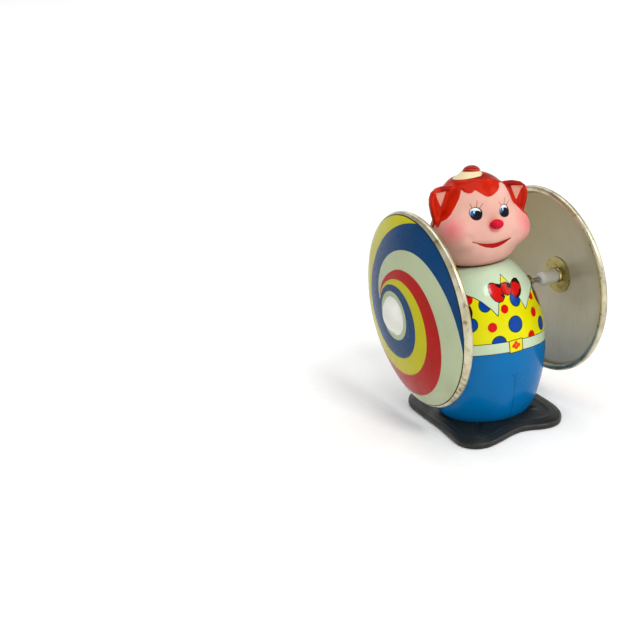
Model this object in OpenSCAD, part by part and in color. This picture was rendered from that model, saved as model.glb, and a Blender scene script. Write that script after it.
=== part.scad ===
// Wind-up tin toy: a standing animal figure between two big dished discs on a cross axle.
// Millimetres. Z is up, X runs along the cross axle, -Y is the figure's front.
// The origin is on the floor under the middle of the axle.

/* [Discs] */
// Height of the cross axle above the floor
axle_z = 52.3; // [45:0.1:60]
// Diameter of the cross axle
axle_d = 2; // [1.6:0.1:3]
// Distance from the middle to the centre of a rim bead
rim_x = 29.9; // [28:0.1:34]
// Radius of the rim bead's centre line
bead_line_r = 38.2; // [30:0.1:45]
// Radius of the rolled rim bead
bead_r = 1.3; // [0.8:0.1:2]
// Distance from the middle to the flat hub of a disc
hub_x = 39.6; // [36:0.1:44]
// Radius of the flat hub before the dish starts
hub_flat_r = 8.5; // [6:0.5:12]
// Diameter of the domed hub cap
cap_d = 15.6; // [12:0.1:20]
// Height of the domed hub cap
cap_h = 3.6; // [2:0.1:5]
// Tinplate thickness
tin_t = 0.35; // [0.25:0.05:0.6]

/* [Body] */
// Depth of the oval body as a share of its width
body_oval = 0.9; // [0.7:0.05:1]
// How far the body's middle sits behind the axle
body_back = 0.8; // [0:0.1:3]
// Diameter of the neck opening
neck_d = 19.6; // [14:0.1:22]

/* [Head] */
// Height of the middle of the head
head_z = 83; // [78:0.5:90]
// Wall of the moulded head
head_wall = 1.5; // [1:0.1:2.5]
// How far the head leans to its left, in degrees
head_lean = 4.5; // [-10:0.5:10]
// How far the head is turned, in degrees
head_turn = 5; // [-20:0.5:20]

/* [Base] */
// Thickness of the moulded base
base_t = 3; // [2:0.1:5]
// Height of the raised border on the base
border_h = 0.6; // [0.2:0.1:1]

/* [Movement] */
// Gear module
gear_m = 0.5; // [0.4:0.05:0.8]
// Height of the winding arbor above the floor
winding_z = 30; // [26:0.5:34]
// Thickness of the movement plates
plate_t = 0.8; // [0.6:0.1:1.2]
// Front face of the front plate
plate_front_y = -7; // [-10:0.1:-6]
// Front face of the rear plate
plate_rear_y = 7.2; // [6:0.1:10]
// Radius of the winding arbor
arbor_r = 1.5; // [1.2:0.1:2]
// Radius of the two small arbors
pivot_r = 0.8; // [0.6:0.1:1.2]
// Radial running clearance in every bearing
run_fit = 0.04; // [0.02:0.01:0.08]

/* [Key] */
// Distance behind the middle where the key's boss starts
key_y = 25.8; // [25:0.1:30]
// Radius of one wing of the key
wing_r = 4.9; // [4:0.1:6]

/* [Part to show] */
// One sub-part by name, or all of them

/* [Hidden] */

$fn = 64;
axle_r = axle_d / 2;
disc_out_r = bead_line_r + bead_r;
// the dish leaves the flat hub as a parabola and runs smoothly over the rim bead;
// the slope it arrives with is found by repeating the sum until it settles
function landing(lean, left) = left == 0 ? lean : landing(atan(2
    * (hub_x - rim_x - bead_r * cos(lean)) / (bead_line_r + bead_r * sin(lean) - hub_flat_r)), left - 1);
rim_lean = landing(30, 12);
dish_edge_r = bead_line_r + bead_r * sin(rim_lean);
dish_k = tan(rim_lean) / (2 * (dish_edge_r - hub_flat_r));

great_n = 42;
wheel_n = 36;
pinion_n = 10;
crown_n = 24;
axle_n = 8;
pressure = 28;
play = 0.06;

// centre distances, and where they put the second arbor
near_c = (great_n + pinion_n) * gear_m / 2;
far_c = (wheel_n + pinion_n) * gear_m / 2;
rise = axle_z - winding_z;
second_up = (near_c * near_c - far_c * far_c + rise * rise) / (2 * rise);
second_x = sqrt(near_c * near_c - second_up * second_up);
second_z = winding_z + second_up;
mesh_low = atan2(second_up, second_x);
mesh_high = atan2(rise - second_up, -second_x);

// where the screws stand
feet = [[-10, -9.8], [10, -9.8], [-10, 10.8], [10, 10.8]];
// pillars between the plates as [x, z, radius]; the last one holds the mainspring
pillar_at = [[-12.6, 15, 1.5], [12.6, 15, 1.5], [-10.5, 47, 1.2], [-12.9, 30, 1.1]];

// outside of the body as [height, half width]
body_line = [[3, 19.4], [5, 20.7], [8, 22.1], [12, 23.5], [16, 24.7], [20, 25.6], [24, 26.2],
             [28, 26.6], [32, 26.7], [36, 26.6], [40, 26.2], [44, 25.4], [48, 24.4],
             [52, 23.1], [56, 21.3], [60, 18.9], [62.6, 16.8], [64.6, 14.7], [65.8, 12.8],
             [66.4, 10.8]];

// outline of one ear as [sideways, above the middle of the head]
ear_line = [[9, 14], [12, 14.8], [15, 14.9], [18, 14.3], [20.1, 12.8], [21, 10.6],
            [21, 8], [20.3, 4.8], [19.3, 1.5], [18.4, -2], [14, -4.5], [9, -2]];

// ---------- helpers ----------

function arc(cx, cy, r, a0, a1, n) =
    [for (i = [0:n]) let (a = a0 + (a1 - a0) * i / n) [cx + r * cos(a), cy + r * sin(a)]];

function inv(a) = tan(a) * 180 / PI - a;

// half the angle a tooth fills at radius r
function tooth_half(n, r) =
    let (rp = n * gear_m / 2, rb = rp * cos(pressure))
    90 / n - play / rp * 90 / PI + inv(pressure) - inv(acos(min(1, rb / max(r, rb))));

function tooth_radii(n) =
    let (rp = n * gear_m / 2)
    [rp - 0.6 * gear_m * 2 / 1.2, rp - 0.4 * gear_m, rp, rp + 0.4 * gear_m, rp + 0.8 * gear_m];

function gear_points(n) =
    let (radii = tooth_radii(n))
    [for (i = [0:n - 1]) for (s = [0:9])
        let (k = s < 5 ? s : 9 - s, r = radii[k],
             a = 360 * i / n + (s < 5 ? -1 : 1) * tooth_half(n, r))
        [r * cos(a), r * sin(a)]];

// places a flat shape drawn in X and Z between two Y values
module upright(y0, y1) {
    translate([0, y1, 0]) rotate([90, 0, 0]) linear_extrude(y1 - y0) children();
}

module rod_y(x, z, r, y0, y1) {
    translate([x, y1, z]) rotate([90, 0, 0]) cylinder(h = y1 - y0, r = r);
}

module rod_x(r, x0, x1) {
    translate([x0, 0, axle_z]) rotate([0, 90, 0]) cylinder(h = x1 - x0, r = r);
}

module gear_y(n, x, z, turn, y0, y1, bore) {
    difference() {
        translate([x, 0, z]) upright(y0, y1) rotate(turn) polygon(gear_points(n));
        if (bore > 0) rod_y(x, z, bore, y0 - 1, y1 + 1);
    }
}

// turns a profile drawn as [radius, distance from the middle] about the cross axle
module about_axle(side) {
    translate([0, 0, axle_z]) rotate([0, side * 90, 0]) rotate_extrude() children();
}

// ---------- base ----------

// outline of the base left of its middle, drawn inward by d
function foot_left(d) = concat(
    [[0, -25.1 + d], [-4.6, -25.5 + d], [-11, -27.4 + d]],
    [for (p = arc(-17.8, -19.5, 9.2 - d, -72, -180, 9)) p],
    [[-25.4 + d, -4], [-25.1 + d, 10]],
    [for (p = arc(-8.6, 20.4, 16 - d, 180, 90, 8)) p],
    [[0, 36.4 - d]]);

// and right of it, where the toe is shorter and rounder
function foot_right(d) = concat(
    [[0, -25.1 + d], [3.6, -26.4 + d], [6.6, -28 + d]],
    [for (p = arc(11.6, -20.8, 8.5 - d, -105, -35, 8)) p],
    [[20.2 - 0.8 * d, -24 + 0.6 * d], [21.6 - 0.9 * d, -21.4 + 0.4 * d], [22.9 - d, -17.2],
     [23.8 - d, -12], [24.6 - d, -4], [24.9 - d, 4], [24.9 - d, 12]],
    [for (p = arc(8.6, 20.4, 16 - d, 0, 90, 8)) p],
    [[0, 36.4 - d]]);

module foot_shape(d) {
    union() {
        polygon(foot_left(d));
        polygon(foot_right(d));
    }
}

module base() {
    color([0.09, 0.09, 0.1])
    difference() {
        union() {
            translate([0, 0, 0.5]) linear_extrude(base_t - 1.1) foot_shape(0);
            linear_extrude(base_t) foot_shape(0.5);
            linear_extrude(base_t + border_h - 0.4) difference() {
                foot_shape(1.5);
                foot_shape(3);
            }
        }
        for (p = feet) translate([p[0], p[1], -1]) {
            cylinder(h = 2.5, r = 2.3);
            cylinder(h = 8, r = 1.2);
        }
        for (y = [-16.62, 18.22]) translate([-1.7, y - 0.35, 1]) cube([3.4, 0.7, 4]);
    }
}

module base_screws() {
    color([0.6, 0.6, 0.62])
    for (p = feet) translate([p[0], p[1], 0.3]) difference() {
        union() {
            cylinder(h = 1.2, r = 2);
            cylinder(h = 5.6, r = 1);
        }
        translate([-1.6, -0.25, -1]) cube([3.2, 0.5, 1.5]);
    }
}

module base_nuts() {
    color([0.6, 0.6, 0.62])
    for (p = feet) translate([p[0], p[1], base_t + plate_t]) difference() {
        cylinder(h = 1.4, r = 2.2, $fn = 6);
        translate([0, 0, -1]) cylinder(h = 4, r = 1);
    }
}

// ---------- tin body ----------

module shell_half() {
    inner = [for (i = [len(body_line) - 1:-1:0])
        [body_line[i][1] - tin_t, body_line[i][0] - (i > 15 ? tin_t * (i - 15) / 4 : 0)]];
    outer = [for (p = body_line) [p[1], p[0]]];
    rotate_extrude(angle = 180) polygon(concat(
        outer, [[neck_d / 2, 66.45], [neck_d / 2, 66.45 - tin_t]], inner));
}

module axle_slot() {
    translate([-40, -body_back / body_oval, axle_z]) rotate([0, 90, 0]) cylinder(h = 80, r = 2.2);
}

module body_front() {
    color([0.9, 0.85, 0.1])
    union() {
        translate([0, body_back, 0]) scale([1, body_oval, 1]) difference() {
            rotate([0, 0, 180]) shell_half();
            axle_slot();
        }
        translate([-1.5, -16.78, 1.4]) cube([3, tin_t, 2.6]);
    }
}

module body_back() {
    color([0.9, 0.85, 0.1])
    union() {
        translate([0, body_back, 0]) scale([1, body_oval, 1]) difference() {
            shell_half();
            axle_slot();
            translate([0, 40, winding_z]) rotate([90, 0, 0]) cylinder(h = 40, r = 2.3);
        }
        translate([-1.5, 18.03, 1.4]) cube([3, tin_t, 2.6]);
    }
}

module side_eyelets() {
    color([0.82, 0.68, 0.35])
    for (side = [-1, 1]) about_axle(side) polygon([
        [axle_r + 0.3, 21], [1.9, 21], [1.9, 24.25], [2.9, 24.25], [2.9, 24.65],
        [axle_r + 0.3, 24.65]]);
}

// ---------- head ----------

// the head leans to one side on the collar and is turned a little
module head_pose() {
    translate([0, 0, head_z + 1.5]) rotate([0, head_lean, 0]) rotate([0, 0, -head_turn])
        translate([0, 0, -head_z - 1.5]) children();
}

// an oval ball, drawn inward by d
module oval_ball(at, semi, d) {
    translate(at) scale([semi[0] - d, semi[1] - d, semi[2] - d] / (semi[2] - d)) sphere(r = semi[2] - d);
}

// round skull, full cheeks and jaw
module head_solid(d) {
    head_pose() union() {
        oval_ball([0, 0.9, head_z + 4.2], [14.9, 14.4, 15], d);
        oval_ball([0, -0.9, head_z - 7.6], [16.4, 13.4, 11.6], d);
        for (side = [-1, 1]) oval_ball([side * 9.4, -3.4, head_z - 3.4], [11.4, 11.2, 9.4], d);
    }
}

module ear(side) {
    upright(-4.4, -1.4) polygon([for (p = ear_line) [side * p[0], head_z + p[1]]]);
}

module head() {
    color([0.93, 0.68, 0.6])
    difference() {
        union() {
            difference() {
                union() {
                    head_solid(0);
                    head_pose() union() {
                        ear(-1);
                        ear(1);
                        oval_ball([0.3, -15, head_z], [2.75, 3.2, 2.25], 0);
                        translate([-2.7, -0.6, head_z + 14]) cylinder(h = 5.6, r1 = 7.2, r2 = 3.6);
                        oval_ball([-1.7, -0.6, head_z + 19.4], [3.4, 3.4, 2.5], 0);
                    }
                }
                translate([-30, -30, head_z - 26.5]) cube([60, 60, 10]);
            }
            translate([0, body_back, 0]) scale([1, body_oval, 1]) union() {
                translate([0, 0, 62.6]) cylinder(h = 6, r = neck_d / 2 - 0.3);
                translate([0, 0, 63.8]) cylinder(h = 1.2, r = neck_d / 2 + 0.4);
            }
        }
        intersection() {
            head_solid(head_wall);
            translate([-30, -30, 68]) cube([60, 60, 40]);
        }
        translate([0, body_back, 60]) scale([1, body_oval, 1])
            cylinder(h = 12, r = neck_d / 2 - 1.8);
    }
}

// ---------- movement ----------

module plate_shape(low) {
    difference() {
        union() {
            polygon([[-15, 13], [15, 13], [15, 50], [12.4, 58], [-12.4, 58], [-15, 50]]);
            for (side = [-1, 1]) translate([side * 10 - 3, low]) square([6, 14]);
        }
        translate([0, winding_z]) circle(r = arbor_r + run_fit);
        translate([second_x, second_z]) circle(r = pivot_r + run_fit);
        for (p = pillar_at) translate([p[0], p[1]]) circle(r = 0.7);
    }
}

module front_plate() {
    y = plate_front_y;
    color([0.74, 0.74, 0.72])
    difference() {
        union() {
            upright(y, y + plate_t) plate_shape(base_t);
            for (side = [-1, 1])
                translate([side * 10 - 3, y - 5.4, base_t]) cube([6, 5.5, plate_t]);
        }
        for (p = feet) translate([p[0], p[1], 0]) cylinder(h = 8, r = 1.05);
    }
}

module rear_plate() {
    y = plate_rear_y;
    color([0.74, 0.74, 0.72])
    difference() {
        union() {
            upright(y, y + plate_t) plate_shape(base_t);
            for (side = [-1, 1])
                translate([side * 10 - 3, y + plate_t - 0.1, base_t]) cube([6, 5.5, plate_t]);
        }
        for (p = feet) translate([p[0], p[1], 0]) cylinder(h = 8, r = 1.05);
        rod_y(0, axle_z, pivot_r + run_fit, 5, 10);
    }
}

module pillars() {
    color([0.8, 0.8, 0.8])
    for (p = pillar_at) {
        rod_y(p[0], p[1], p[2], plate_front_y + plate_t, plate_rear_y);
        rod_y(p[0], p[1], 0.7, plate_front_y - 0.4, plate_rear_y + plate_t + 0.4);
    }
}

module axle_brackets() {
    color([0.74, 0.74, 0.72])
    for (side = [-1, 1]) difference() {
        translate([side > 0 ? 13.6 : -14.4, plate_front_y + plate_t, axle_z - 5])
            cube([plate_t, plate_rear_y - plate_front_y - plate_t, 8]);
        rod_x(axle_r + run_fit, -20, 20);
    }
}

module crown_bridge() {
    color([0.74, 0.74, 0.72])
    difference() {
        union() {
            upright(4.1, 4.7) translate([-12.8, axle_z - 2]) square([25.6, 4]);
            for (side = [-1, 1]) rod_y(side * 11.2, axle_z, 1.2, 4.5, plate_rear_y);
        }
        rod_y(0, axle_z, pivot_r + run_fit, 0, 10);
    }
}

// one strip wound about the winding arbor, its outer end looped over a pillar
module mainspring() {
    turns = 8;
    r0 = 2;
    r1 = 11;
    strip = 0.4;
    steps = turns * 24;
    function coil(i, d) = let (r = r0 + (r1 - r0) * i / steps + d, a = 180 + 360 * i / 24)
        [r * cos(a), winding_z + r * sin(a)];
    color([0.35, 0.37, 0.42])
    union() {
        upright(-5.4, 1.4) polygon(concat(
            [for (i = [0:steps]) coil(i, 0)], [for (i = [steps:-1:0]) coil(i, strip)]));
        difference() {
            union() {
                rod_y(-12.9, winding_z, 1.6, -5.4, 1.4);
                translate([-11.6, -5.4, winding_z - 0.2]) cube([0.5, 6.8, 0.4]);
            }
            rod_y(-12.9, winding_z, 1.14, -6, 2);
        }
    }
}

module winding_arbor() {
    color([0.7, 0.7, 0.72])
    union() {
        rod_y(0, winding_z, arbor_r, plate_front_y - 0.8, key_y + 4);
        rod_y(0, winding_z, 2.4, plate_front_y + plate_t + 0.1, plate_front_y + plate_t + 0.6);
        rod_y(0, winding_z, 2.4, plate_rear_y - 0.6, plate_rear_y - 0.1);
    }
}

module ratchet_wheel() {
    teeth = 12;
    saw = [for (i = [0:teeth - 1]) for (k = [0:1])
        let (a = 360 / teeth * i + (k == 0 ? 0 : 1), r = k == 0 ? 3.3 : 4.3)
        [r * cos(a), r * sin(a)]];
    color([0.85, 0.7, 0.3])
    difference() {
        translate([0, 0, winding_z]) upright(2, 2.8) polygon(saw);
        rod_y(0, winding_z, arbor_r, 1, 4);
    }
}

// leaf spring on the great wheel; its tip drops behind the ratchet's teeth
module click_spring() {
    color([0.55, 0.57, 0.62])
    translate([0, 0, winding_z]) union() {
        upright(2, 2.8) polygon([[-3.45, 0.06], [-4.1, 0.75], [-6.25, 3.8], [-6.95, 3.3],
                                 [-4.25, 0.06]]);
        upright(2, 3.2) translate([-6.6, 3.9]) circle(r = 1.1);
    }
}

module great_wheel() {
    color([0.85, 0.7, 0.3])
    difference() {
        gear_y(great_n, 0, winding_z, mesh_low, 3.2, 4, arbor_r + run_fit);
        for (a = [40:72:340]) rod_y(6.6 * cos(a), winding_z + 6.6 * sin(a), 1.5, 3, 5);
    }
}

module second_arbor() {
    color([0.7, 0.7, 0.72])
    union() {
        rod_y(second_x, second_z, pivot_r, plate_front_y - 0.3, plate_rear_y + plate_t + 0.3);
        gear_y(pinion_n, second_x, second_z, mesh_low + 198, 3, 4.4, 0);
    }
}

module second_wheel() {
    color([0.85, 0.7, 0.3])
    difference() {
        gear_y(wheel_n, second_x, second_z, mesh_high, 5, 5.8, pivot_r);
        for (a = [0:72:300])
            rod_y(second_x + 5.2 * cos(a), second_z + 5.2 * sin(a), 1.6, 4, 7);
    }
}

module crown_arbor() {
    color([0.7, 0.7, 0.72])
    union() {
        rod_y(0, axle_z, pivot_r, 2.5, plate_rear_y + plate_t + 0.3);
        gear_y(pinion_n, 0, axle_z, mesh_high + 198, 4.8, 6, 0);
    }
}

// contrate wheel: its teeth stand forward from the rim and reach the pinion on the axle
module crown_wheel() {
    pitch_y = 2;
    color([0.85, 0.7, 0.3])
    difference() {
        union() {
            rod_y(0, axle_z, 6.6, pitch_y + 0.6, pitch_y + 1.4);
            for (i = [0:crown_n - 1]) translate([0, 0, axle_z]) rotate([0, 360 * i / crown_n, 0])
                translate([5.5, 0, 0]) rotate([90, 0, 90]) linear_extrude(1) polygon([
                    [pitch_y - 0.4, -0.14], [pitch_y - 0.4, 0.14],
                    [pitch_y + 0.7, 0.62], [pitch_y + 0.7, -0.62]]);
        }
        rod_y(0, axle_z, pivot_r, 0, 6);
        for (a = [45:90:315]) rod_y(3.2 * cos(a), axle_z + 3.2 * sin(a), 1.1, 0, 6);
    }
}

// ---------- cross axle and discs ----------

module cross_axle() {
    color([0.75, 0.75, 0.77]) rod_x(axle_r, -41.4, 41.4);
}

module axle_collars() {
    color([0.85, 0.7, 0.3])
    for (side = [-1, 1]) about_axle(side) polygon([
        [axle_r, 12], [2, 12], [2, 13.5], [axle_r, 13.5]]);
}

module axle_pinion() {
    color([0.85, 0.7, 0.3])
    difference() {
        translate([4.9, 0, axle_z]) rotate([90, 0, 90]) linear_extrude(2.2)
            rotate(22.5) polygon(gear_points(axle_n));
        rod_x(axle_r, 0, 10);
    }
}

function dish(r) = hub_x - dish_k * pow(max(0, r - hub_flat_r), 2);

// one stamped disc: flat hub, dished face and a rim rolled back on itself
module disc(side) {
    edge = dish_edge_r;
    radii = [for (i = [0:16]) axle_r + (edge - axle_r) * i / 16];
    face = [for (r = radii) [r, dish(r)]];
    rear = [for (i = [16:-1:0]) [radii[i], dish(radii[i]) - tin_t]];
    union() {
        about_axle(side) polygon(concat(face, rear));
        about_axle(side) difference() {
            translate([bead_line_r, rim_x]) circle(r = bead_r, $fn = 32);
            translate([bead_line_r, rim_x]) circle(r = bead_r - tin_t, $fn = 32);
            translate([bead_line_r - 0.3, rim_x - 2]) square([0.3, 2]);
        }
    }
}

module disc_left() {
    color([0.2, 0.35, 0.65]) disc(-1);
}

module disc_right() {
    color([0.2, 0.35, 0.65]) disc(1);
}

module hub_cap() {
    cap_r = (cap_d * cap_d / 4 + cap_h * cap_h) / (2 * cap_h);
    difference() {
        intersection() {
            translate([0, hub_x + cap_h - cap_r]) circle(r = cap_r, $fn = 96);
            translate([0, hub_x]) square([cap_d, cap_h + 1]);
        }
        square([axle_r, 41.45]);
    }
}

module hub_cap_left() {
    color([0.93, 0.93, 0.91]) about_axle(-1) hub_cap();
}

module hub_cap_right() {
    color([0.93, 0.93, 0.91]) about_axle(1) hub_cap();
}

module hub_washers() {
    rear = hub_x - tin_t;
    color([0.82, 0.68, 0.35])
    for (side = [-1, 1]) about_axle(side) polygon([
        [axle_r, rear - 0.4], [7.8, rear - 0.4], [7.8, rear], [axle_r, rear]]);
}

module hub_eyelets() {
    rear = hub_x - tin_t - 0.4;
    color([0.82, 0.68, 0.35])
    for (side = [-1, 1]) about_axle(side) polygon([
        [axle_r, 37.9], [2.6, 37.9], [3, 38.2], [3.3, 38.6], [3.3, rear], [axle_r, rear]]);
}

module hub_bush() {
    polygon([[axle_r, 29.6], [1.9, 29.6], [2.5, 30.2], [3, 31.2], [3.05, 32], [3.05, 37.4],
             [2.6, 37.9], [axle_r, 37.9]]);
}

module hub_bush_left() {
    color([0.9, 0.9, 0.88]) about_axle(-1) hub_bush();
}

module hub_bush_right() {
    color([0.9, 0.9, 0.88]) about_axle(1) hub_bush();
}

// ---------- key ----------

module key_boss() {
    color([0.75, 0.75, 0.77])
    difference() {
        union() {
            rod_y(0, winding_z, 2.5, key_y, key_y + 5.6);
            rod_y(0, winding_z, 3, key_y, key_y + 0.8);
        }
        rod_y(0, winding_z, arbor_r, key_y - 1, key_y + 4.05);
        translate([-3, key_y + 4.3, winding_z - 0.5]) cube([6, 3, 1]);
    }
}

module key_wings() {
    y = key_y + 8.3;
    color([0.78, 0.78, 0.8])
    translate([0, 0, winding_z - 0.5]) linear_extrude(1) difference() {
        union() {
            for (side = [-1, 1]) translate([side * 6, y]) circle(r = wing_r);
            translate([-4, y - 3]) square([8, 6]);
            translate([-2.3, key_y + 4.3]) square([4.6, 3]);
        }
        for (side = [-1, 1]) translate([side * 6.2, y]) circle(r = 2.2);
    }
}

// ---------- assembly ----------

base();
base_screws();
base_nuts();
body_front();
body_back();
head();
front_plate();
rear_plate();
pillars();
axle_brackets();
crown_bridge();
side_eyelets();
mainspring();
winding_arbor();
ratchet_wheel();
click_spring();
great_wheel();
second_arbor();
second_wheel();
crown_arbor();
crown_wheel();
cross_axle();
axle_collars();
axle_pinion();
disc_left();
disc_right();
hub_cap_left();
hub_cap_right();
hub_washers();
hub_eyelets();
hub_bush_left();
hub_bush_right();
key_boss();
key_wings();
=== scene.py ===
"""Wind-up tin bear with two whirling discs: its looks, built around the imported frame.

The figure faces -Y, its cross axle lies along X, and the floor is at z = 0.
The toy's lengths are millimetres until a mesh is made, the studio's are metres.
"""

import math

import bpy
import numpy as np
from mathutils import Matrix, Vector


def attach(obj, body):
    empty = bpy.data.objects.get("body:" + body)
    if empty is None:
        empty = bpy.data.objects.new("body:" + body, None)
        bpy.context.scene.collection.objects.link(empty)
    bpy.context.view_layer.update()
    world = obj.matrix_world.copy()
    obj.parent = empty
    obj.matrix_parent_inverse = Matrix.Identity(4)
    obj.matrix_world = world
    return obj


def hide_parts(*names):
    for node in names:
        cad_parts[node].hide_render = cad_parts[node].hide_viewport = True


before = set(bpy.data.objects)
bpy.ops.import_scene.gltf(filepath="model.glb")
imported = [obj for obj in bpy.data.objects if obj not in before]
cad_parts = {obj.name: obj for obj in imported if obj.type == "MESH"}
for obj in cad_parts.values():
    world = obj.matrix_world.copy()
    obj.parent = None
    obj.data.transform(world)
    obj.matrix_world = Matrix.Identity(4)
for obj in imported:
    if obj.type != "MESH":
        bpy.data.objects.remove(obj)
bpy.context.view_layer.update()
scene = bpy.context.scene

MM = 0.001

# ---------- driving sizes ----------

TIN = 0.35  # tinplate thickness
AXLE_Z = 52.3
AXLE_R = 1.0
RIM_X = 29.9  # how far out the middle of a disc's rolled bead lies
BEAD_LINE_R = 38.2  # radius of the circle the bead follows
BEAD_R = 1.3
HUB_X = 39.6  # how far out the flat middle of a disc lies
HUB_FLAT_R = 8.5
BODY_BACK = 0.8  # the body's middle sits this far behind the axle
BODY_OVAL = 0.9  # depth of the body as a share of its width
NECK_R = 9.8
NECK_Z = 66.45  # top edge of the tin at the neck
AXLE_HOLE_R = 2.2  # holes in the tin for the axle's and the key's eyelets
KEY_HOLE_R = 2.3
KEY_Z = 30.0
BASE_T = 3.0
FEET = [(-10, -9.8), (10, -9.8), (-10, 10.8), (10, 10.8)]  # screws up into the movement
SCREW_R = 1.2
SCREW_HEAD_R = 2.3
SCREW_HEAD_T = 1.5

# how the soft head sits on the collar: leaning to one side and turned a little
HEAD_PIVOT = np.array([0.0, 0.0, 84.5])
HEAD_TURN = math.radians(5)
HEAD_LEAN = math.radians(4.5)

# ---------- curves and distances ----------


def smooth_through(points, at):
    """Height at `at` of a smooth curve through (x, y) points that never overshoots."""
    px, py = np.array(points, float).T
    step = np.diff(px)
    slope = np.diff(py) / step
    inner = np.zeros(len(slope) - 1)
    same = slope[1:] * slope[:-1] > 0
    inner[same] = (2 * slope[1:] * slope[:-1] / (slope[1:] + slope[:-1] + 1e-12))[same]
    lean = np.concatenate([[slope[0]], inner, [slope[-1]]])
    i = np.clip(np.searchsorted(px, at) - 1, 0, len(step) - 1)
    t = (np.asarray(at, float) - px[i]) / step[i]
    return (
        (2 * t**3 - 3 * t**2 + 1) * py[i]
        + (t**3 - 2 * t**2 + t) * step[i] * lean[i]
        + (3 * t**2 - 2 * t**3) * py[i + 1]
        + (t**3 - t**2) * step[i] * lean[i + 1]
    )


def polygon_distance(u, v, corners):
    """Distance from each (u, v) to a polygon's edge, negative inside it."""
    near = np.full(np.shape(u), 1e9)
    side = np.ones(np.shape(u))
    for (ax, ay), (bx, by) in zip(corners, corners[1:] + corners[:1]):
        ex, ey, wu, wv = bx - ax, by - ay, u - ax, v - ay
        t = np.clip((wu * ex + wv * ey) / (ex * ex + ey * ey), 0, 1)
        near = np.minimum(near, (wu - ex * t) ** 2 + (wv - ey * t) ** 2)
        above, below, left = v >= ay, v < by, ex * wv > ey * wu
        flip = (above & below & left) | (~above & ~below & ~left)
        side = np.where(flip, -side, side)
    return side * np.sqrt(near)


def oval_distance(u, v, centre, semi):
    """Near its edge, the distance to an oval, negative inside."""
    reach = np.hypot((u - centre[0]) / semi[0], (v - centre[1]) / semi[1])
    return (reach - 1) * min(semi)


def arc(cx, cy, r, start, stop, steps):
    """Points along a circle, from one angle to another."""
    angles = np.radians(np.linspace(start, stop, steps + 1))
    return [(cx + r * math.cos(a), cy + r * math.sin(a)) for a in angles]


# ---------- materials ----------


def linear(rgb):
    """Scene colour of an ordinary 0-255 colour."""
    parts = [c / 255 for c in rgb]
    return [c / 12.92 if c <= 0.04045 else ((c + 0.055) / 1.055) ** 2.4 for c in parts] + [1.0]


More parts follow.
